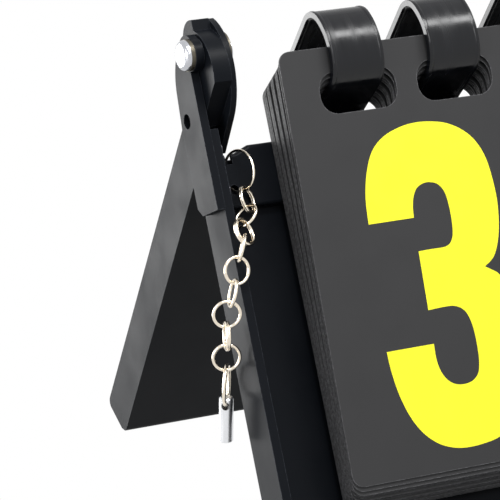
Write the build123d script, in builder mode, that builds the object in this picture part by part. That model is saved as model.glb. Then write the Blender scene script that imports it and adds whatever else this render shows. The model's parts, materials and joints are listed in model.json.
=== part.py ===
"""Tabletop flip scoreboard: two moulded trays hinged at the top into an A-frame, with a row of hoops
across the ridge that carry packs of number cards. Millimetres, +Z up. The origin is on the table,
midway between the feet; +X runs along the board and -Y is the side that faces the players."""

import os
from math import asin, cos, pi, radians, sin, sqrt

from build123d import *

# ---------------------------------------------------------------- driving dimensions
# Trays: u runs down a panel from the hinge axis and w stands out of its outer face
board_width = 430.0
lean = radians(27.0)  # each panel's angle from upright
leg_length = 180.0  # hinge axis to the bottom end of a panel
panel_back = 20.0  # depth of the inner face below the hinge axis
panel_rim = 2.75  # depth of the outer rim below the hinge axis
rim_width = 3.5
floor_thickness = 2.5
corner_round = 3.0
side_wall_top = 27.0
floor_top = 37.0
foot_flat_depth = 0.4
ridge_gap = 0.35  # each panel's clearance from the mid plane where their walls meet

# Clamp bar across the head of the front tray
bar_top = 32.7
bar_height = 22.7
bar_thickness = 3.8
bar_round = 1.5
bar_end_gap = 0.3  # side wall to the bar's end
shoulder_drop = 2.4
shoulder_flat = 9.7
shoulder_run = 5.8
rear_bar_top = 42.0
bar_seat_gap = 0.05
lug_reach = 44.0  # where the rear tray's lugs run into its side walls
tab_width = 6.0  # thin tab near the bar's left end for the anchor ring
tab_thickness = 1.5
tab_top = 39.0  # foot of the notch that the ring passes over the bar's head
tab_notch = 2.6
tab_hole_radius = 1.8
notch_width = 4.0  # notch in the floor behind the tab
notch_end = 47.0

# Flip hoops
hoop_width = 21.0
hoop_thickness = 2.1
crown_radius = 9.3  # outer radii of the band's three arcs, from the rear leg over to the front
front_radius = 21.8
under_radius = 11.5
crown_centre_y = 3.0
crown_centre_z = 0.1
crown_end = radians(112.0)  # direction, from level, in which one arc hands over to the next
front_end = radians(165.0)
flip_centre_y = 1.8  # axis about which a card is turned over the ridge
flip_centre_z = -9.4
hoop_bead = 1.9  # width of the rolled edge
hoop_bead_rise = 0.2
hoop_bead_round = 0.7
hoop_bend = 3.5
rear_leg_angle = radians(33.5)  # from upright
rear_leg_length = 22.0
front_run_slope = radians(21.0)  # from square to the panel
foot_end = 50.0  # depth of the hoop's foot down the panel
foot_clearance = 0.15

# Cards
card_end_gap = 5.6  # cards' bottom ends to the front tray's bottom wall
card_thickness = 0.6
card_corner = 4.5
card_strip = 9.4  # card above its slots
slot_width = 31.2
slot_height = 15.1
slot_pitch = 40.0
hoop_shift = 0.3  # the score hoops stand this far inward of the slots' middles
side_margin = 28.2  # board's end to the first card
card_gap = 4.0
set_card_width = 41.5
set_card_height = 88.0
pack_front = 5.4  # how far the front card's slot edge stands out of the hinge plane
pack_back = -12.5
pack_places = (4.1, 2.1, 1.3, 0.4, -2.2, -3.0, -3.9, -6.4, -7.3, -8.1, -9.7, -10.7, -11.6, pack_back)
set_pack_places = (3.4, -0.6, -4.6, -8.6, pack_back)
front_card_tilt = radians(2.9)
slot_corner = 6.5
slot_lift = 0.45  # slot edge above the hoop

# Hinge
plate_thickness = 3.2
plate_end = 56.0
plate_edge = 1.8  # depth of the plates' front edge below the hinge axis
lug_gap = 0.4
lug_thickness = 7.0
web_thickness = 2.3
rivet_radius = 3.0
rivet_head_radius = 5.6
rivet_head_height = 2.3
rivet_clearance = 0.06
washer_radius = 7.0
washer_thickness = 0.7
collar_radius = 5.7  # thick washer under a rivet's head
collar_thickness = 1.5
tail_radius = 4.6
tail_height = 1.4
washer_gap = 0.05
head_rim = 0.2
lock_hole_radius = 2.8
lock_hole_u = 21.7
lock_hole_w = -12.9

# Fasteners
screw_radius = 1.4
screw_head_radius = 2.6
screw_head_height = 1.5
screw_length = 4.3
screw_fit = 0.03
bar_screw_x = (-176.0, -136.5, -50.0, 50.0, 136.5, 176.0)
bar_screw_edge = 4.5
plate_screw_u = (34.0, 49.0)
plate_screw_w = -8.0
plate_screw_bite = 2.4

# Chain and lock pin: each small ring over the rim heads for a point given as distance in from the
# board's side, u and w, and is turned about that heading
anchor_inset = 11.9
anchor_turn = radians(20.0)  # turn of the anchor ring towards the players
ring_u = 42.3
ring_w = -10.2
wire_radius = 0.6
link_radius = 4.8  # to the middle of the wire
link_gap = 0.25
anchor_radius = 7.5
anchor_wire = 0.5
end_ring_wire = 0.7
end_ring_radius = 7.2
chain_course = (
    (12.2, 51.7, -9.2),
    (9.0, 58.6, -5.6),
    (6.8, 66.7, -2.0),
    (1.8, 73.8, 10.6),
    (4.9, 78.0, 4.0),
    (-6.6, 88.6, -6.7),
)
hanging_links = 3
chain_turns = tuple(radians(turn) for turn in (-21, 10, -1, 39, -26, 18, 0, 0, 0, 15))
double_rings = (1, 3, 8)
pin_radius = 2.6
pin_length = 17.0
pin_head_room = 2.7  # cross hole below the pin's top
pin_hole_radius = 1.5
pin_hang = 0.1
pin_chamfer = 0.5

# ---------------------------------------------------------------- frame of reference
half_width = board_width / 2
foot_low = (leg_length - corner_round) * cos(lean) + (panel_back - corner_round) * sin(lean) + corner_round
axis_height = foot_low - foot_flat_depth


def front_point(u, w):
    """A point of the front panel, in the end view, from its depth down the panel and its stand-out."""
    return (-u * sin(lean) - w * cos(lean), axis_height - u * cos(lean) + w * sin(lean))


def rear_point(u, w):
    """The same for the rear panel, the mirror image."""
    y, z = front_point(u, w)
    return (-y, z)


def front_frame(x, u, w, tilt=0.0):
    """A workplane on the front panel: x along the board, y up the panel and z out of it."""
    y, z = front_point(u, w)
    return Plane(origin=(x, y, z), x_dir=(1, 0, 0), z_dir=(0, -cos(lean - tilt), sin(lean - tilt)))


def meeting_line(w):
    """Depth down a panel at which it comes within the ridge gap of the mid plane."""
    return (-w * cos(lean) + ridge_gap) / sin(lean)


def cut_feet():
    """Flats on which a tray stands."""
    with Locations((0, 0, -leg_length / 2)):
        Box(2 * board_width, 3 * leg_length, leg_length, mode=Mode.SUBTRACT)


# ---------------------------------------------------------------- trays
floor_level = panel_back - floor_thickness
inside_half = half_width - rim_width
bar_level = floor_level - bar_thickness
ring_x = -half_width + anchor_inset
tab_w = -bar_level - tab_thickness / 2
tab_hole_x = ring_x - (ring_w - tab_w) * sin(anchor_turn) / cos(anchor_turn)
tab_reach = (ring_w - tab_w) / cos(anchor_turn)
tab_hole_u = ring_u + sqrt(anchor_radius**2 - tab_reach**2)
ring_back_x = ring_x - anchor_radius * sin(anchor_turn)
bar_screw_u = bar_top + bar_height - bar_screw_edge
rear_half = half_width - lug_gap
rear_inside_half = rear_half - rim_width

with BuildPart() as front_tray:
    with BuildSketch(Plane.YZ.offset(-half_width)):
        with BuildLine():
            Polyline(
                front_point(side_wall_top, -panel_rim),
                front_point(leg_length, -panel_rim),
                front_point(leg_length, -panel_back),
                front_point(meeting_line(-panel_back), -panel_back),
                front_point(side_wall_top, -(side_wall_top * sin(lean) - ridge_gap) / cos(lean)),
                close=True,
            )
        make_face()
        fillet(vertices().sort_by(Axis.Y)[:2], radius=corner_round)
    extrude(amount=board_width)
    # recess for the cards, open towards the players and at the head
    with BuildSketch(Plane.YZ.offset(-inside_half)):
        with BuildLine():
            Polyline(
                front_point(side_wall_top - rim_width, 0),
                front_point(leg_length - rim_width, 0),
                front_point(leg_length - rim_width, -floor_level),
                front_point(floor_top, -floor_level),
                front_point(floor_top, -panel_back - rim_width),
                front_point(side_wall_top - rim_width, -panel_back - rim_width),
                close=True,
            )
        make_face()
    extrude(amount=2 * inside_half, mode=Mode.SUBTRACT)
    cut_feet()
    # the floor's head edge is cut to the mid plane
    with Locations((0, board_width - ridge_gap, axis_height)):
        Box(board_width * 2, board_width * 2, leg_length, mode=Mode.SUBTRACT)
    # notch in the floor that leaves room for the anchor ring
    with BuildSketch(front_frame(ring_back_x, (floor_top + notch_end) / 2 - rim_width, -panel_back - 1)):
        Rectangle(notch_width, notch_end - floor_top + 2 * rim_width)
    extrude(amount=floor_thickness + 1.5, mode=Mode.SUBTRACT)
    # screw holes: the clamp bar's in the floor, the hinge plates' in the side walls
    for x in bar_screw_x:
        with Locations(front_frame(x, bar_screw_u, -panel_back)):
            Cylinder(screw_radius + screw_fit, 4 * floor_thickness, mode=Mode.SUBTRACT)
    for u in plate_screw_u:
        y, z = front_point(u, plate_screw_w)
        with Locations(Plane(origin=(0, y, z), z_dir=(1, 0, 0))):
            Cylinder(screw_radius + screw_fit, 2 * board_width, mode=Mode.SUBTRACT)
front_tray.part.label = "front_tray"

rear_lug_outline_x = (-rear_half, rear_half - lug_thickness)
web_outline_x = (-rear_half + lug_thickness, rear_half - lug_thickness - web_thickness)
lock_hole = front_point(lock_hole_u, lock_hole_w)

with BuildPart() as rear_tray:
    with BuildSketch(Plane.YZ.offset(-rear_half)):
        with BuildLine():
            Polyline(
                rear_point(rear_bar_top, -panel_rim),
                rear_point(leg_length, -panel_rim),
                rear_point(leg_length, -panel_back),
                rear_point(rear_bar_top, -panel_back),
                close=True,
            )
        make_face()
        fillet(vertices().sort_by(Axis.Y)[:2], radius=corner_round)
    extrude(amount=2 * rear_half)
    # recess, with a low bar left along its head
    with BuildSketch(Plane.YZ.offset(-rear_inside_half)):
        with BuildLine():
            Polyline(
                rear_point(rear_bar_top - rim_width, 0),
                rear_point(leg_length - rim_width, 0),
                rear_point(leg_length - rim_width, -floor_level),
                rear_point(rear_bar_top + rim_width, -floor_level),
                rear_point(rear_bar_top + rim_width, -bar_level),
                rear_point(rear_bar_top - rim_width, -bar_level),
                close=True,
            )
        make_face()
    extrude(amount=2 * rear_inside_half, mode=Mode.SUBTRACT)
    cut_feet()
    # hinge lugs, which turn inside the hinge plates
    for x in rear_lug_outline_x:
        with BuildSketch(Plane.YZ.offset(x)):
            with BuildLine():
                Polyline(
                    rear_point(lug_reach, -panel_rim),
                    rear_point(19.0, -panel_rim),
                    rear_point(3.0, 12.9),
                )
                ThreePointArc(rear_point(3.0, 12.9), rear_point(-2.4, 13.6), rear_point(-6.8, 10.6))
                Line(rear_point(-6.8, 10.6), rear_point(-4.6, 7.3))
                ThreePointArc(rear_point(-4.6, 7.3), rear_point(-6.6, -2.4), rear_point(0.3, -14.9))
                Polyline(
                    rear_point(0.3, -14.9),
                    rear_point(21.9, -14.9),
                    rear_point(24.2, -11.85),
                    rear_point(36.0, -17.9),
                    rear_point(lug_reach, -18.4),
                    rear_point(lug_reach, -panel_rim),
                )
            make_face()
        extrude(amount=lug_thickness)
    # webs on the lugs' inner sides
    for x in web_outline_x:
        with BuildSketch(Plane.YZ.offset(x)):
            with BuildLine():
                Polyline(
                    rear_point(lug_reach, -panel_rim),
                    rear_point(19.0, -panel_rim),
                    rear_point(3.0, 12.9),
                )
                ThreePointArc(rear_point(3.0, 12.9), rear_point(-2.2, 13.6), rear_point(-6.0, 11.2))
                ThreePointArc(rear_point(-6.0, 11.2), rear_point(-7.4, 3.6), rear_point(-5.6, -4.6))
                ThreePointArc(rear_point(-5.6, -4.6), rear_point(-3.5, -8.8), rear_point(-0.6, -12.3))
                ThreePointArc(rear_point(-0.6, -12.3), rear_point(6.6, -17.2), rear_point(15.4, -19.2))
                Polyline(
                    rear_point(15.4, -19.2),
                    rear_point(31.6, -20.0),
                    rear_point(34.4, -17.1),
                    rear_point(39.9, -19.8),
                    rear_point(lug_reach, -19.8),
                    rear_point(lug_reach, -panel_rim),
                )
            make_face()
        extrude(amount=web_thickness)
    with Locations(Plane(origin=(0, 0, axis_height), z_dir=(1, 0, 0))):
        Cylinder(rivet_radius + rivet_clearance, 2 * board_width, mode=Mode.SUBTRACT)
    with Locations(Plane(origin=(0, *lock_hole), z_dir=(1, 0, 0))):
        Cylinder(lock_hole_radius, 2 * board_width, mode=Mode.SUBTRACT)
rear_tray.part.label = "rear_tray"

# ---------------------------------------------------------------- flip hoops
edge_to_mid = hoop_bead_rise + hoop_thickness / 2
flip_centre = (flip_centre_y, axis_height + flip_centre_z)


def along(start, length, angle):
    """The point at a length and an angle from level, in the end view."""
    return (start[0] + length * cos(angle), start[1] + length * sin(angle))


crown_centre = (crown_centre_y, axis_height + crown_centre_z)
front_centre = along(crown_centre, crown_radius - front_radius, crown_end)
under_centre = along(front_centre, front_radius - under_radius, front_end)
under_end = 1.5 * pi - lean - front_run_slope
crown_mid = crown_radius - edge_to_mid
front_mid = front_radius - edge_to_mid
under_mid = under_radius - edge_to_mid

# the arc under the ridge and the straight run to the panel, in panel terms
under_drop = axis_height - under_centre[1]
under_u = -under_centre[0] * sin(lean) + under_drop * cos(lean)
under_w = -under_centre[0] * cos(lean) - under_drop * sin(lean)
foot_w = -floor_level + foot_clearance + hoop_thickness / 2
touch_u = under_u + under_mid * cos(front_run_slope)
touch_w = under_w + under_mid * sin(front_run_slope)
knee_u = touch_u + (touch_w - foot_w) / cos(front_run_slope) * sin(front_run_slope)
rear_touch = along(crown_centre, crown_mid, rear_leg_angle)
rear_tip = along(rear_touch, rear_leg_length, rear_leg_angle - pi / 2)


def make_hoop(x):
    """A band from its free rear leg over the ridge and down to a foot under the clamp bar."""
    with BuildPart() as hoop:
        with BuildSketch(Plane.YZ.offset(x - hoop_width / 2)):
            with BuildLine():
                Line(rear_tip, rear_touch)
                ThreePointArc(
                    rear_touch,
                    along(crown_centre, crown_mid, pi / 2),
                    along(crown_centre, crown_mid, crown_end),
                )
                ThreePointArc(
                    along(crown_centre, crown_mid, crown_end),
                    along(front_centre, front_mid, (crown_end + front_end) / 2),
                    along(front_centre, front_mid, front_end),
                )
                ThreePointArc(
                    along(front_centre, front_mid, front_end),
                    along(under_centre, under_mid, (front_end + under_end) / 2),
                    front_point(touch_u, touch_w),
                )
                FilletPolyline(
                    front_point(touch_u, touch_w),
                    front_point(knee_u, foot_w),
                    front_point(foot_end, foot_w),
                    radius=hoop_bend,
                )
            trace(line_width=hoop_thickness)
        extrude(amount=hoop_width)
    # rolled edges along the free part of the band
    with BuildPart() as bead:
        with BuildSketch(Plane.YZ.offset(x - hoop_width / 2)):
            with BuildLine():
                Line(rear_tip, rear_touch)
                ThreePointArc(
                    rear_touch,
                    along(crown_centre, crown_mid, pi / 2),
                    along(crown_centre, crown_mid, crown_end),
                )
                ThreePointArc(
                    along(crown_centre, crown_mid, crown_end),
                    along(front_centre, front_mid, (crown_end + front_end) / 2),
                    along(front_centre, front_mid, front_end),
                )
                ThreePointArc(
                    along(front_centre, front_mid, front_end),
                    along(under_centre, under_mid, (front_end + under_end) / 2),
                    front_point(touch_u, touch_w),
                )
            trace(line_width=hoop_thickness + 2 * hoop_bead_rise)
        extrude(amount=hoop_bead)
        ends = edges().group_by(Axis.X)
        fillet(ends[0] + ends[-1], radius=hoop_bead_round)
    with BuildPart() as banded:
        add(hoop.part)
        add(bead.part)
        with Locations((hoop_width - hoop_bead, 0, 0)):
            add(bead.part)
    return banded.part


first_card_edge = half_width - side_margin
card_width = first_card_edge - set_card_width - 1.5 * card_gap
score_x = first_card_edge - card_width / 2
set_x = (card_gap + set_card_width) / 2
hoop_places = {"left_set_hoop": -set_x, "right_set_hoop": set_x}
for number in (1, 2, 3):
    place = score_x + slot_pitch * (2 - number) - hoop_shift
    hoop_places["left_score_hoop_" + str(number)] = -place
    hoop_places["right_score_hoop_" + str(number)] = place
hoops = {name: make_hoop(x) for name, x in hoop_places.items()}

# ---------------------------------------------------------------- clamp bar
bar_half = inside_half - bar_end_gap
bar_frame = front_frame(0, 0, -floor_level + bar_seat_gap)
pocket_depth = hoop_thickness + 2 * foot_clearance
with BuildPart() as front_clamp_bar:
    with BuildSketch(bar_frame):
        with BuildLine():
            Polyline(
                (-bar_half, -bar_top - bar_height),
                (bar_half, -bar_top - bar_height),
                (bar_half, -bar_top - shoulder_drop),
                (bar_half - shoulder_flat, -bar_top - shoulder_drop),
                (bar_half - shoulder_flat - shoulder_run, -bar_top),
                (-bar_half + shoulder_flat + shoulder_run, -bar_top),
                (-bar_half + shoulder_flat, -bar_top - shoulder_drop),
                (-bar_half, -bar_top - shoulder_drop),
                close=True,
            )
        make_face()
    extrude(amount=bar_thickness)
    fillet(faces().sort_by(Axis(bar_frame.origin, bar_frame.z_dir))[-1].edges(), radius=bar_round)
    # the head edge stays clear of the mid plane
    with Locations((0, board_width - ridge_gap, axis_height)):
        Box(board_width * 2, board_width * 2, leg_length, mode=Mode.SUBTRACT)
    # pockets for the hoops' feet
    with BuildSketch(bar_frame):
        for x in hoop_places.values():
            with Locations((x, -bar_top)):
                Rectangle(hoop_width + 2 * foot_clearance, 2 * (foot_end - bar_top + foot_clearance))
    extrude(amount=pocket_depth, mode=Mode.SUBTRACT)
    # thin tab with a hole for the anchor ring
    with BuildSketch(bar_frame):
        with Locations((tab_hole_x, -ring_u)):
            Rectangle(tab_width, 2 * (anchor_radius + anchor_wire) + tab_hole_radius)
    extrude(amount=bar_thickness - tab_thickness, mode=Mode.SUBTRACT)
    with BuildSketch(bar_frame):
        with Locations((tab_hole_x, -tab_hole_u)):
            Circle(tab_hole_radius)
        with Locations((tab_hole_x, -bar_top)):
            Rectangle(tab_notch, 2 * (tab_top - bar_top))
    extrude(amount=bar_thickness, mode=Mode.SUBTRACT)
    with BuildSketch(bar_frame):
        for x in bar_screw_x:
            with Locations((x, -bar_screw_u)):
                Circle(screw_radius + screw_fit)
    extrude(amount=bar_thickness - tab_thickness, mode=Mode.SUBTRACT)
front_clamp_bar.part.label = "front_clamp_bar"

with BuildPart() as clamp_bar_screws:
    for x in bar_screw_x:
        with Locations(front_frame(x, bar_screw_u, -panel_back - screw_head_height)):
            Cylinder(screw_head_radius, screw_head_height, align=(Align.CENTER, Align.CENTER, Align.MIN))
        with Locations(front_frame(x, bar_screw_u, -panel_back)):
            Cylinder(screw_radius, screw_length, align=(Align.CENTER, Align.CENTER, Align.MIN))
clamp_bar_screws.part.label = "clamp_bar_screws"

# ---------------------------------------------------------------- hinge plates, rivets and screws
plates = {}
plate_head_radius = collar_radius + head_rim
head_meets_edge = sqrt(plate_head_radius**2 - plate_edge**2)
for name, start in (
    ("left_hinge_plate", -half_width - plate_thickness),
    ("right_hinge_plate", half_width),
):
    with BuildPart() as hinge_plate:
        with BuildSketch(Plane.YZ.offset(start)):
            with BuildLine():
                Line(front_point(plate_end, -plate_edge), front_point(head_meets_edge, -plate_edge))
                ThreePointArc(
                    front_point(head_meets_edge, -plate_edge),
                    front_point(0, plate_head_radius),
                    front_point(-plate_head_radius * cos(lean), plate_head_radius * sin(lean)),
                )
                ThreePointArc(
                    front_point(-plate_head_radius * cos(lean), plate_head_radius * sin(lean)),
                    front_point(-7.5, -1.6),
                    front_point(-6.5, -5.5),
                )
                ThreePointArc(
                    front_point(-6.5, -5.5), front_point(-0.8, -12.2), front_point(11.0, -17.0)
                )
                Polyline(
                    front_point(11.0, -17.0),
                    front_point(24.0, -18.4),
                    front_point(plate_end - plate_thickness, -18.4),
                    front_point(plate_end, -18.4 + plate_thickness),
                    front_point(plate_end, -plate_edge),
                )
            make_face()
        extrude(amount=plate_thickness)
        with Locations(Plane(origin=(0, 0, axis_height), z_dir=(1, 0, 0))):
            Cylinder(rivet_radius + screw_fit, 2 * board_width, mode=Mode.SUBTRACT)
        with Locations(Plane(origin=(0, *lock_hole), z_dir=(1, 0, 0))):
            Cylinder(lock_hole_radius, 2 * board_width, mode=Mode.SUBTRACT)
        for u in plate_screw_u:
            y, z = front_point(u, plate_screw_w)
            with Locations(Plane(origin=(0, y, z), z_dir=(1, 0, 0))):
                Cylinder(
                    screw_radius + screw_fit, 2 * (half_width + plate_screw_bite), mode=Mode.SUBTRACT
                )
    plates[name] = hinge_plate.part

with BuildPart() as hinge_plate_screws:
    for u in plate_screw_u:
        y, z = front_point(u, plate_screw_w)
        for side in (-1, 1):
            head = Plane(origin=(side * (inside_half - screw_head_height), y, z), z_dir=(side, 0, 0))
            with Locations(head):
                Cylinder(
                    screw_head_radius, screw_head_height, align=(Align.CENTER, Align.CENTER, Align.MIN)
                )
                Cylinder(
                    screw_radius,
                    screw_head_height + rim_width + plate_screw_bite - screw_fit,
                    align=(Align.CENTER, Align.CENTER, Align.MIN),
                )
hinge_plate_screws.part.label = "hinge_plate_screws"

rivets = {}
for side, hand in ((-1, "left"), (1, "right")):
    outer_x = half_width + plate_thickness + collar_thickness
    inner_x = half_width - lug_gap - lug_thickness - web_thickness - washer_gap - washer_thickness
    axis_line = Plane(origin=(side * inner_x, 0, axis_height), z_dir=(side, 0, 0))
    with BuildPart() as rivet:
        with BuildSketch(axis_line):
            Circle(rivet_radius)
        extrude(amount=outer_x - inner_x)
        # domed head outside, flat closed head inside
        with BuildSketch(axis_line.offset(outer_x - inner_x)):
            Circle(rivet_head_radius)
        extrude(amount=rivet_head_height)
        dome_face = faces().sort_by(Axis.X)[0 if side < 0 else -1]
        fillet(dome_face.edges(), radius=rivet_head_height - head_rim)
        with BuildSketch(axis_line):
            Circle(tail_radius)
        extrude(amount=-tail_height)
    rivets[hand + "_pivot_rivet"] = rivet.part
    with BuildPart() as head_washer:
        with BuildSketch(axis_line.offset(outer_x - inner_x - collar_thickness)):
            Circle(collar_radius)
            Circle(rivet_radius + screw_fit, mode=Mode.SUBTRACT)
        extrude(amount=collar_thickness)
    rivets[hand + "_rivet_washer"] = head_washer.part
    with BuildPart() as tail_washer:
        with BuildSketch(axis_line):
            Circle(washer_radius)
            Circle(rivet_radius + screw_fit, mode=Mode.SUBTRACT)
        extrude(amount=washer_thickness)
    rivets[hand + "_tail_washer"] = tail_washer.part

# ---------------------------------------------------------------- cards
slot_reach = under_radius - hoop_thickness - hoop_bead_rise - slot_lift
switch_w = under_w + slot_reach * sin(front_run_slope)


def slot_edge(w):
    """Depth at which a card's slot edge sits on the hoops, for its front face's stand-out."""
    if w > switch_w:
        return under_u + sqrt(slot_reach**2 - (w - under_w) ** 2)
    straight_u = under_u + slot_reach * cos(front_run_slope)
    return straight_u + (switch_w - w) * sin(front_run_slope) / cos(front_run_slope)


def make_card(x, width, height, slot_places, w, tilt):
    """One card hanging by its slots, front face at w."""
    with BuildPart() as card:
        with BuildSketch(front_frame(x, slot_edge(w), w, tilt)):
            with Locations((0, card_strip - height / 2)):
                RectangleRounded(width, height, card_corner)
            for place in slot_places:
                with Locations((place, -slot_height / 2)):
                    RectangleRounded(slot_width, slot_height, slot_corner, mode=Mode.SUBTRACT)
        extrude(amount=-card_thickness)
    return card.part


card_height = leg_length - rim_width - card_end_gap - slot_edge(pack_back) + card_strip
three_slots = (-slot_pitch, 0.0, slot_pitch)
card_sets = {
    "left_score": (-score_x, card_width, card_height, three_slots, pack_places),
    "right_score": (score_x, card_width, card_height, three_slots, pack_places),
    "left_set": (-set_x, set_card_width, set_card_height, (0.0,), set_pack_places),
    "right_set": (set_x, set_card_width, set_card_height, (0.0,), set_pack_places),
}
cards = {}
for name, (x, width, height, slot_places, places) in card_sets.items():
    cards[name + "_front_card"] = make_card(
        x, width, height, slot_places, pack_front, front_card_tilt
    )
    # behind it the cards' heads lie in loose groups and their bottom ends at even steps
    hang = height - card_strip
    foot_front = pack_front - hang * sin(front_card_tilt)
    with BuildPart() as pack:
        for step, place in enumerate(places, start=1):
            card_foot = foot_front + (pack_back - foot_front) * step / len(places)
            add(make_card(x, width, height, slot_places, place, asin((place - card_foot) / hang)))
    cards[name + "_cards"] = pack.part

# ---------------------------------------------------------------- chain and lock pin
ring_centres = [Vector(ring_x, *front_point(ring_u, ring_w))]
anchor_frame = front_frame(ring_x, ring_u, ring_w)
ring_normals = [anchor_frame.x_dir * cos(anchor_turn) - anchor_frame.z_dir * sin(anchor_turn)]
radii = [anchor_radius] + [link_radius] * (len(chain_course) + hanging_links) + [end_ring_radius]
wires = [anchor_wire] + [wire_radius] * (len(chain_course) + hanging_links) + [end_ring_wire]
courses = [Vector(x - half_width, *front_point(u, w)) for x, u, w in chain_course]
for number in range(1, len(radii)):
    reach = radii[number - 1] + radii[number] - wires[number - 1] - wires[number] - link_gap
    last = ring_centres[-1]
    normal = ring_normals[-1]
    hanging = number > len(courses)
    aim = Vector(0, 0, -1) if hanging else courses[number - 1] - last
    heading = (aim - normal * aim.dot(normal)).normalized()
    ring_centres.append(last + heading * reach)
    # the next ring stands square to this one
    turn = chain_turns[number - 1]
    square = heading.cross(normal) * cos(turn) - normal * sin(turn)
    if hanging:
        square = Vector(square.X, square.Y, 0).normalized()
    ring_normals.append(square)

chain = []
for number, (middle, normal) in enumerate(zip(ring_centres, ring_normals)):
    with BuildPart() as ring:
        for coil in (-0.5, 0.5) if number in double_rings else (0,):
            with Locations(Plane(origin=middle + normal * coil * wires[number], z_dir=normal)):
                Torus(radii[number], wires[number])
    chain.append(ring.part)

pin_turn = ring_normals[-1].cross(Vector(0, 0, 1))
pin_hole_z = ring_centres[-1].Z - end_ring_radius - pin_hang
pin_origin = (ring_centres[-1].X, ring_centres[-1].Y, pin_hole_z + pin_head_room)
with BuildPart() as lock_pin:
    with BuildSketch(Plane(origin=pin_origin)):
        Circle(pin_radius)
    extrude(amount=-pin_length)
    chamfer(edges().filter_by(GeomType.CIRCLE), length=pin_chamfer)
    with Locations(Plane(origin=(pin_origin[0], pin_origin[1], pin_hole_z), z_dir=pin_turn)):
        Cylinder(pin_hole_radius, 4 * pin_radius, mode=Mode.SUBTRACT)
lock_pin.part.label = "lock_pin"

# ---------------------------------------------------------------- files
os.makedirs("parts", exist_ok=True)
named_parts = {
    "front_tray": front_tray.part,
    "front_clamp_bar": front_clamp_bar.part,
    "clamp_bar_screws": clamp_bar_screws.part,
    "hinge_plate_screws": hinge_plate_screws.part,
    "rear_tray": rear_tray.part,
    "lock_pin": lock_pin.part,
}
named_parts.update(plates)
named_parts.update(rivets)
named_parts.update(hoops)
named_parts.update(cards)
named_parts["anchor_ring"] = chain[0]
for number in range(1, len(chain) - 1):
    named_parts["chain_ring_" + str(number)] = chain[number]
named_parts["pin_ring"] = chain[-1]
for name, piece in named_parts.items():
    piece.label = name
    export_step(piece, "parts/" + name + ".step")
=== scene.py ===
"""Looks of a tabletop flip scoreboard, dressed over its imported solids. Metres, +Z up."""

import json
import math

import bpy
from mathutils import Matrix, Vector


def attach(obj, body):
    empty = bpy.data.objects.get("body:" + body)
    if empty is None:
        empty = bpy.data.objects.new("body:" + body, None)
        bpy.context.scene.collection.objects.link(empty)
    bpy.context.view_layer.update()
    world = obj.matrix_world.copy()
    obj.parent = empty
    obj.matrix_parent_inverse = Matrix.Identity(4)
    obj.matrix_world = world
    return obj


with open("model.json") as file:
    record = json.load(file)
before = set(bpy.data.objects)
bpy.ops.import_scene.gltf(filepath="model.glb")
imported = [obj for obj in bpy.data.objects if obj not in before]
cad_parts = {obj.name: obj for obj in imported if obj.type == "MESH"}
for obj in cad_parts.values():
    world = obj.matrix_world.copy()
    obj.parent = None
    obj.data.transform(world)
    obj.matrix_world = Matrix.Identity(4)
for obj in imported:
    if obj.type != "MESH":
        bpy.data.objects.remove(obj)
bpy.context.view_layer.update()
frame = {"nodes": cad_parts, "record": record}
nodes = frame["nodes"]


# ------------------------------------------------- trays, clamp bar and hinge plates
# Two shallow trays, a bar screwed across the front one over the hoops' feet, and a plate on each
# of its side walls. All are moulded in black plastic, satin, with a faint eroded grain. A pale painted
# highlight runs in patches along their rounded edges, where they catch the light.
def new_material(name, color, roughness, metallic=0.0, specular=0.5):
    material = bpy.data.materials.new(name)
    material.use_nodes = True
    shader = material.node_tree.nodes["Principled BSDF"]
    shader.inputs["Base Color"].default_value = (*color, 1)
    shader.inputs["Roughness"].default_value = roughness
    shader.inputs["Metallic"].default_value = metallic
    shader.inputs["Specular IOR Level"].default_value = specular
    return material, material.node_tree, shader


def new_effect(name, inputs, output, output_kind):
    """An empty node group with named inputs and one output."""
    group = bpy.data.node_groups.new(name, "ShaderNodeTree")
    for label, kind in inputs.items():
        group.interface.new_socket(label, in_out="INPUT", socket_type=kind)
    group.interface.new_socket(output, in_out="OUTPUT", socket_type=output_kind)
    given = group.nodes.new("NodeGroupInput").outputs
    result = group.nodes.new("NodeGroupOutput").inputs[output]
    return group, given, result


def cloud(group, scale, detail, stretch=None):
    """Noise in the piece's own metres; each setting is a socket or a plain value."""
    place = group.nodes.new("ShaderNodeTexCoord")
    mapping = group.nodes.new("ShaderNodeMapping")
    texture = group.nodes.new("ShaderNodeTexNoise")
    group.links.new(place.outputs["Object"], mapping.inputs["Vector"])
    group.links.new(mapping.outputs["Vector"], texture.inputs["Vector"])
    if stretch:
        group.links.new(stretch, mapping.inputs["Scale"])
    for socket, value in ((texture.inputs["Scale"], scale), (texture.inputs["Detail"], detail)):
        if isinstance(value, (int, float)):
            socket.default_value = value
        else:
            group.links.new(value, socket)
    return texture.outputs["Fac"]


NOISE_BAND = (0.35, 0.65)  # the part of a noise's range that holds most of its values


def spread(group, source):
    """Map Range node that opens a noise's middle band; its To Min and To Max are set after."""
    node = group.nodes.new("ShaderNodeMapRange")
    node.inputs["From Min"].default_value, node.inputs["From Max"].default_value = NOISE_BAND
    group.links.new(source, node.inputs["Value"])
    return node


FLOAT, VECTOR, COLOR = "NodeSocketFloat", "NodeSocketVector", "NodeSocketColor"

gloss_group, given, result = new_effect(
    "uneven gloss",
    {"Scale": FLOAT, "Detail": FLOAT, "Stretch": VECTOR, "Lowest": FLOAT, "Highest": FLOAT},
    "Roughness",
    FLOAT,
)
patches = spread(gloss_group, cloud(gloss_group, given["Scale"], given["Detail"], given["Stretch"]))
gloss_group.links.new(given["Lowest"], patches.inputs["To Min"])
gloss_group.links.new(given["Highest"], patches.inputs["To Max"])
gloss_group.links.new(patches.outputs["Result"], result)

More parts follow.
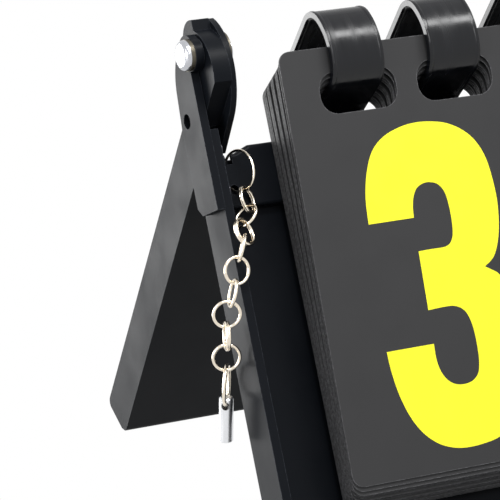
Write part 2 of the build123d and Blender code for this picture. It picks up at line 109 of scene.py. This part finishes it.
grain_group, given, result = new_effect(
    "fine grain",
    {"Scale": FLOAT, "Detail": FLOAT, "Stretch": VECTOR, "Strength": FLOAT, "Distance": FLOAT},
    "Normal",
    VECTOR,
)
raised = grain_group.nodes.new("ShaderNodeBump")
height = cloud(grain_group, given["Scale"], given["Detail"], given["Stretch"])
grain_group.links.new(height, raised.inputs["Height"])
grain_group.links.new(given["Strength"], raised.inputs["Strength"])
grain_group.links.new(given["Distance"], raised.inputs["Distance"])
grain_group.links.new(raised.outputs["Normal"], result)

# A pale painted highlight along rounded edges, found from a bevelled normal and broken into patches by
# noise.
HIGHLIGHT_NOISE_SCALE, HIGHLIGHT_NOISE_DETAIL = 900, 3
HIGHLIGHT_PATCHES = (0.1, 1.0)
BEVEL_SAMPLES = 4
edge_highlight_group, given, result = new_effect(
    "painted edge highlight",
    {"Base": COLOR, "Worn": COLOR, "Radius": FLOAT, "Starts": FLOAT, "Full": FLOAT},
    "Color",
    COLOR,
)
softened = edge_highlight_group.nodes.new("ShaderNodeBevel")
softened.samples = BEVEL_SAMPLES
facing = edge_highlight_group.nodes.new("ShaderNodeNewGeometry")
turned = edge_highlight_group.nodes.new("ShaderNodeVectorMath")
turned.operation = "DOT_PRODUCT"
edge = edge_highlight_group.nodes.new("ShaderNodeMapRange")
patches = spread(edge_highlight_group, cloud(edge_highlight_group, HIGHLIGHT_NOISE_SCALE, HIGHLIGHT_NOISE_DETAIL))
patches.inputs["To Min"].default_value, patches.inputs["To Max"].default_value = HIGHLIGHT_PATCHES
amount = edge_highlight_group.nodes.new("ShaderNodeMath")
amount.operation = "MULTIPLY"
highlighted = edge_highlight_group.nodes.new("ShaderNodeMix")
highlighted.data_type = "RGBA"
MIX_FACTOR, MIX_FROM, MIX_TO, MIX_COLOR = 0, 6, 7, 2  # a colour Mix node's sockets
for source, target in (
    (given["Radius"], softened.inputs["Radius"]),
    (softened.outputs["Normal"], turned.inputs[0]),
    (facing.outputs["Normal"], turned.inputs[1]),
    (turned.outputs["Value"], edge.inputs["Value"]),
    (given["Starts"], edge.inputs["From Min"]),
    (given["Full"], edge.inputs["From Max"]),
    (edge.outputs["Result"], amount.inputs[0]),
    (patches.outputs["Result"], amount.inputs[1]),
    (amount.outputs["Value"], highlighted.inputs[MIX_FACTOR]),
    (given["Base"], highlighted.inputs[MIX_FROM]),
    (given["Worn"], highlighted.inputs[MIX_TO]),
    (highlighted.outputs[MIX_COLOR], result),
):
    edge_highlight_group.links.new(source, target)


def place_effect(tree, group, socket, **settings):
    """Places an effect in a material, with its own values, and feeds the given socket."""
    node = tree.nodes.new("ShaderNodeGroup")
    node.node_tree = group
    for label, value in settings.items():
        node.inputs[label].default_value = value
    tree.links.new(node.outputs[0], socket)


def uneven_gloss(tree, shader, scale, lowest, highest, detail=4.0, stretch=(1, 1, 1)):
    place_effect(
        tree, gloss_group, shader.inputs["Roughness"],
        Scale=scale, Detail=detail, Stretch=stretch, Lowest=lowest, Highest=highest,
    )


def fine_grain(tree, shader, scale, detail, strength, distance, stretch=(1, 1, 1)):
    place_effect(
        tree, grain_group, shader.inputs["Normal"],
        Scale=scale, Detail=detail, Stretch=stretch, Strength=strength, Distance=distance,
    )


# Paints a pale highlight in patches along a material's edges.
def painted_edge_highlight(tree, shader, base, highlight, radius, starts, full):
    place_effect(
        tree, edge_highlight_group, shader.inputs["Base Color"],
        Base=(*base, 1), Worn=(*highlight, 1), Radius=radius, Starts=starts, Full=full,
    )


def dress(slot, material):
    """Gives its material to every piece of one slot in the record."""
    for entry in frame["record"]["subparts"]:
        if entry["material_slot"] == slot:
            mesh = nodes[entry["node"]].data
            mesh.materials.clear()
            mesh.materials.append(material)


# The paler second colour is a painted highlight on the shell's rounded edges.
SHELL_BLACK = (0.0045, 0.0055, 0.0075)
SHELL_EDGE_HIGHLIGHT = (0.06, 0.066, 0.078)
shell, tree, shader = new_material("shell_plastic", SHELL_BLACK, 0.42, specular=0.07)
painted_edge_highlight(tree, shader, SHELL_BLACK, SHELL_EDGE_HIGHLIGHT, radius=0.0006, starts=0.92, full=0.65)
uneven_gloss(tree, shader, 45, 0.34, 0.46)
fine_grain(tree, shader, 2600, 2, strength=0.12, distance=0.0001)
dress("black_shell", shell)

# ------------------------------------------------- hoops
# Eight wide bands of polished black plastic, bent over the ridge with a rolled edge on each side.
# Their front feet are held under the clamp bar. Faint draw lines run round the bend.
hoop, tree, shader = new_material("hoop_plastic", (0.003, 0.0035, 0.005), 0.2, specular=0.34)
uneven_gloss(tree, shader, 30, 0.17, 0.3, stretch=(9, 1, 1))
fine_grain(tree, shader, 120, 3, strength=0.10, distance=0.0003, stretch=(6, 1, 1))
dress("black_hoop", hoop)

# ------------------------------------------------- cards
# Dark grey plastic sheets, die cut with rounded corners and slots that ride on the hoops. They
# have a fine matt grain, and their cut edges carry a pale painted highlight.
CARD_GREY = (0.028, 0.028, 0.029)
# The pale second colour is a painted highlight on the cards' cut edges.
CARD_EDGE_HIGHLIGHT = (0.20, 0.20, 0.21)
card, tree, shader = new_material("card_sheet", CARD_GREY, 0.5, specular=0.26)
painted_edge_highlight(tree, shader, CARD_GREY, CARD_EDGE_HIGHLIGHT, radius=0.0005, starts=0.98, full=0.8)
uneven_gloss(tree, shader, 60, 0.44, 0.56)
fine_grain(tree, shader, 1500, 3, strength=0.10, distance=0.0001)
dress("card_sheet", card)

# ------------------------------------------------- digits
# Bright yellow digits, printed on the front cards and slightly glossier than the sheet.
# Outlines are in millimetres from a card's left edge and down from its top edge, drawn for the
# score card. A set card takes them scaled.
MM = 0.001
DIGIT_LIFT = 0.06 * MM
ink, tree, shader = new_material("yellow_ink", (1.0, 0.95, 0.03), 0.4)
uneven_gloss(tree, shader, 80, 0.36, 0.46)
fine_grain(tree, shader, 1500, 3, strength=0.05, distance=0.0001)

THREE_UPPER = [(24.1, 65.7), (24.7, 56.4), (26.9, 47.3), (30.7, 39.6), (36.2, 35.0), (43.3, 32.4),
               (50.1, 31.5), (56.7, 31.9), (63.1, 33.4), (69.2, 36.8), (73.6, 41.5), (76.4, 47.8),
               (77.6, 55.2), (78.0, 63.6), (77.1, 71.8), (75.3, 78.7), (72.4, 84.2), (68.1, 87.2)]
THREE_LOWER = [(72.6, 89.9), (75.8, 94.0), (77.9, 100.0), (79.0, 108.0), (79.1, 117.0), (78.0, 127.0),
               (75.4, 136.0), (70.0, 144.0), (62.2, 149.0), (54.1, 150.6), (47.3, 150.8), (41.6, 149.8),
               (36.1, 147.3), (31.1, 142.8), (27.1, 136.3), (24.2, 127.7), (22.7, 118.7), (22.3, 112.0)]
THREE_LOWER_BAY = [(41.7, 111.9), (41.7, 118.1), (43.0, 123.0), (45.6, 126.4), (49.3, 128.0), (54.1, 127.7),
                   (57.4, 125.3), (58.7, 121.3), (59.1, 116.7), (59.0, 110.2), (58.2, 105.3), (56.6, 101.9),
                   (53.7, 99.9), (49.8, 99.3), (41.9, 99.6)]
THREE_UPPER_BAY = [(42.2, 78.0), (47.5, 77.9), (53.5, 77.8), (56.2, 76.1), (57.5, 72.7), (57.9, 67.4),
                   (57.7, 62.0), (56.9, 57.8), (54.8, 54.9), (51.9, 53.8), (49.0, 53.8), (46.0, 55.2),
                   (44.2, 57.9), (43.2, 61.3), (42.7, 65.7)]


def rounded(run, steps=4):
    """The same run with its corners rounded into a smooth stroke edge; its two ends stay."""
    points = []
    padded = [run[0]] + run + [run[-1]]
    for before, start, end, after in zip(padded, padded[1:], padded[2:], padded[3:]):
        for step in range(steps):
            t = step / steps
            points.append(tuple(
                0.5 * (
                    2 * b
                    + (c - a) * t
                    + (2 * a - 5 * b + 4 * c - d) * t * t
                    + (3 * b - a - 3 * c + d) * t**3
                )
                for a, b, c, d in zip(before, start, end, after)
            ))
    return points + [run[-1]]


THREE = [
    rounded(THREE_UPPER)
    + rounded(THREE_LOWER)
    + rounded(THREE_LOWER_BAY)
    + rounded(THREE_UPPER_BAY)
]
ONE = [[(8, 52), (22, 47), (30, 32), (43, 32), (43, 150), (24, 150), (24, 66), (8, 66)]]


OVAL_POWER = 0.75  # 1 is an ellipse, and less is fuller


def oval(centre, half_width, half_height, steps=28):
    """Inner or outer edge of a zero."""
    points = []
    for step in range(steps):
        turn = 2 * math.pi * step / steps
        c, s = math.cos(turn), math.sin(turn)
        points.append(
            (
                centre[0] + half_width * math.copysign(abs(c) ** OVAL_POWER, c),
                centre[1] + half_height * math.copysign(abs(s) ** OVAL_POWER, s),
            )
        )
    return points


ZERO = [oval((30, 91), 28, 59.5), oval((30, 91), 9.5, 38)[::-1]]


TOWARDS_PLAYERS = -0.5  # a printed face's outward direction has less than this along Y


def card_axes(card):
    """Corner, across, down and outward directions of a front card's printed face."""
    points = [card.matrix_world @ vertex.co for vertex in card.data.vertices]
    tally = {}
    for face in card.data.polygons:
        normal = (card.matrix_world.to_3x3() @ face.normal).normalized()
        key = tuple(round(value, 3) for value in normal)
        tally[key] = tally.get(key, 0) + face.area
    in_front = [key for key in tally if key[1] < TOWARDS_PLAYERS]
    outward = Vector(max(in_front, key=lambda key: tally[key])).normalized()
    across = Vector((1, 0, 0))
    down = across.cross(outward)
    if down.z > 0:
        down = -down
    left = min(point.dot(across) for point in points)
    top = min(point.dot(down) for point in points)
    front = max(point.dot(outward) for point in points)
    corner = across * left + down * top + outward * front
    return corner, across, down, outward


def print_digit(name, card_name, outlines, start, scale):
    """A digit's thin print on a card, filled from its outlines."""
    corner, across, down, outward = card_axes(nodes[card_name])
    curve = bpy.data.curves.new(name, "CURVE")
    curve.dimensions = "2D"
    curve.fill_mode = "BOTH"
    for outline in outlines:
        spline = curve.splines.new("POLY")
        spline.points.add(len(outline) - 1)
        for point, (x, v) in zip(spline.points, outline):
            point.co = ((start[0] + x * scale) * MM, -(start[1] + v * scale) * MM, 0, 1)
        spline.use_cyclic_u = True
    drawn = bpy.data.objects.new(name + "_curve", curve)
    bpy.context.scene.collection.objects.link(drawn)
    mesh = bpy.data.meshes.new_from_object(drawn.evaluated_get(bpy.context.evaluated_depsgraph_get()))
    bpy.data.objects.remove(drawn)
    digit = bpy.data.objects.new(name, mesh)
    bpy.context.scene.collection.objects.link(digit)
    place = Matrix((
        (across.x, -down.x, outward.x, corner.x + outward.x * DIGIT_LIFT),
        (across.y, -down.y, outward.y, corner.y + outward.y * DIGIT_LIFT),
        (across.z, -down.z, outward.z, corner.z + outward.z * DIGIT_LIFT),
        (0, 0, 0, 1),
    ))
    mesh.transform(place)
    if mesh.polygons[0].normal.dot(outward) < 0:
        mesh.flip_normals()
    mesh.materials.clear()
    mesh.materials.append(ink)
    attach(digit, card_name)
    return digit


print_digit("left_score_tens", "left_score_front_card", THREE, (0, 0), 1.0)
print_digit("left_score_units", "left_score_front_card", ONE, (79, 0), 1.0)
print_digit("right_score_tens", "right_score_front_card", THREE, (-8, 0), 1.0)
print_digit("right_score_units", "right_score_front_card", ZERO, (76, 0), 1.0)
SET_DIGIT_SCALE = 0.44
print_digit("left_set_digit", "left_set_front_card", ONE, (8.5, 16.5), SET_DIGIT_SCALE)
print_digit("right_set_digit", "right_set_front_card", ZERO, (7.5, 16.5), SET_DIGIT_SCALE)

# ------------------------------------------------- pivot rivets and their washers
# A domed steel rivet, plated and slightly dented from closing, pins each lug of the rear tray to
# its hinge plate. A thick bronzed collar sits under its head, and a thin washer under its tail.
chrome, tree, shader = new_material("rivet_chrome", (0.50, 0.51, 0.54), 0.2, metallic=1.0)
uneven_gloss(tree, shader, 260, 0.16, 0.3)
fine_grain(tree, shader, 240, 3, strength=0.35, distance=0.0008)
dress("chrome_rivet", chrome)

collar, tree, shader = new_material("collar_bronzed", (0.10, 0.09, 0.07), 0.32, metallic=1.0)
uneven_gloss(tree, shader, 500, 0.32, 0.5)
fine_grain(tree, shader, 900, 2, strength=0.08, distance=0.0001)
dress("dark_washer", collar)

# ------------------------------------------------- screws
# Small blackened steel screws that hold the clamp bar and the hinge plates to the front tray. The
# bar's are driven from the back of the tray's floor, and the plates' from inside its side walls.
screw, tree, shader = new_material("screw_black", (0.05, 0.05, 0.055), 0.34, metallic=1.0)
uneven_gloss(tree, shader, 700, 0.28, 0.44)
fine_grain(tree, shader, 900, 2, strength=0.08, distance=0.0001)
dress("steel_screw", screw)

# ------------------------------------------------- chain and lock pin
# Bent rings of nickel plated wire with a warm tint, hung one in the next from a hole in the clamp
# bar. The last carries the lock pin, a turned steel rod with its tool marks running round it.
wire, tree, shader = new_material("plated_wire", (0.80, 0.72, 0.60), 0.16, metallic=1.0)
uneven_gloss(tree, shader, 400, 0.10, 0.26)
fine_grain(tree, shader, 1200, 2, strength=0.06, distance=0.0001)
dress("plated_wire", wire)

steel, tree, shader = new_material("pin_steel", (0.74, 0.75, 0.77), 0.26, metallic=1.0)
uneven_gloss(tree, shader, 900, 0.18, 0.42, detail=3, stretch=(1, 1, 0.05))
fine_grain(tree, shader, 900, 3, strength=0.10, distance=0.0002, stretch=(0.1, 0.1, 3))
dress("bright_steel", steel)

# ------------------------------------------------- camera
# The board is seen from its left and a little above, through a long lens held slightly askew.
CAMERA_AT = Vector((-715.14, -1035.61, 492.36)) * MM
HEADING = math.radians(26.746)
TILT = math.radians(19.085)
ROLL = 0.0105
LENS_MM = 241.37
SENSOR_MM = 36
FAR_CLIP = 20

level = Vector((math.cos(HEADING), -math.sin(HEADING), 0))
ahead = Vector((
    math.sin(HEADING) * math.cos(TILT),
    math.cos(HEADING) * math.cos(TILT),
    -math.sin(TILT),
))
upright = level.cross(ahead)
right = level * math.cos(ROLL) + upright * math.sin(ROLL)
up = upright * math.cos(ROLL) - level * math.sin(ROLL)
camera = bpy.data.objects.new("camera", bpy.data.cameras.new("camera"))
camera.data.lens = LENS_MM
camera.data.sensor_width = SENSOR_MM
camera.data.clip_end = FAR_CLIP
camera.matrix_world = Matrix((
    (right.x, up.x, -ahead.x, CAMERA_AT.x),
    (right.y, up.y, -ahead.y, CAMERA_AT.y),
    (right.z, up.z, -ahead.z, CAMERA_AT.z),
    (0, 0, 0, 1),
))
scene = bpy.context.scene
scene.collection.objects.link(camera)
scene.camera = camera

# ------------------------------------------------- backdrop and lamps
# The camera, glossy and clear surfaces see a plain white backdrop, and a dim cool room lights the
# rest. Four soft boxes stand above the front, at the left, at the left rear and over the hoops.
BACKDROP_WHITE = 1.0
ROOM_COLOR = (0.93, 0.96, 1.0, 1)
ROOM_LIGHT = 0.12
world = bpy.data.worlds.new("studio")
scene.world = world
world.use_nodes = True
tree = world.node_tree
tree.nodes.clear()
path = tree.nodes.new("ShaderNodeLightPath")
seen = tree.nodes.new("ShaderNodeBackground")
seen.inputs["Color"].default_value = (1, 1, 1, 1)
seen.inputs["Strength"].default_value = BACKDROP_WHITE
room = tree.nodes.new("ShaderNodeBackground")
room.inputs["Color"].default_value = ROOM_COLOR
room.inputs["Strength"].default_value = ROOM_LIGHT
mix = tree.nodes.new("ShaderNodeMixShader")
output = tree.nodes.new("ShaderNodeOutputWorld")
shows_backdrop = path.outputs["Is Camera Ray"]
for kind in ("Is Glossy Ray", "Is Transmission Ray"):
    either = tree.nodes.new("ShaderNodeMath")
    either.operation = "MAXIMUM"
    tree.links.new(shows_backdrop, either.inputs[0])
    tree.links.new(path.outputs[kind], either.inputs[1])
    shows_backdrop = either.outputs["Value"]
tree.links.new(shows_backdrop, mix.inputs[0])
tree.links.new(room.outputs[0], mix.inputs[1])
tree.links.new(seen.outputs[0], mix.inputs[2])
tree.links.new(mix.outputs[0], output.inputs[0])


def soft_box(name, at, target, size, watts):
    lamp = bpy.data.objects.new(name, bpy.data.lights.new(name, "AREA"))
    lamp.data.shape = "RECTANGLE"
    lamp.data.size, lamp.data.size_y = size
    lamp.data.energy = watts
    lamp.location = at
    lamp.rotation_euler = (Vector(target) - Vector(at)).to_track_quat("-Z", "Y").to_euler()
    scene.collection.objects.link(lamp)


soft_box("key", at=(-0.3, -1.2, 1.3), target=(0, 0, 0.1), size=(0.7, 0.7), watts=8)
soft_box("side", at=(-1.5, -0.35, 0.45), target=(-0.2, 0, 0.1), size=(0.7, 0.9), watts=13)
soft_box("left_rear", at=(-1.05, 1.15, -0.05), target=(-0.2, 0, 0.1), size=(0.8, 0.9), watts=15)
soft_box("crown_strip", at=(0.0, -0.35, 1.1), target=(0, 0, 0.17), size=(1.4, 0.2), watts=15)

PHOTO_PIXELS = 500
scene.view_settings.view_transform = "Standard"
scene.render.resolution_x = PHOTO_PIXELS
scene.render.resolution_y = PHOTO_PIXELS
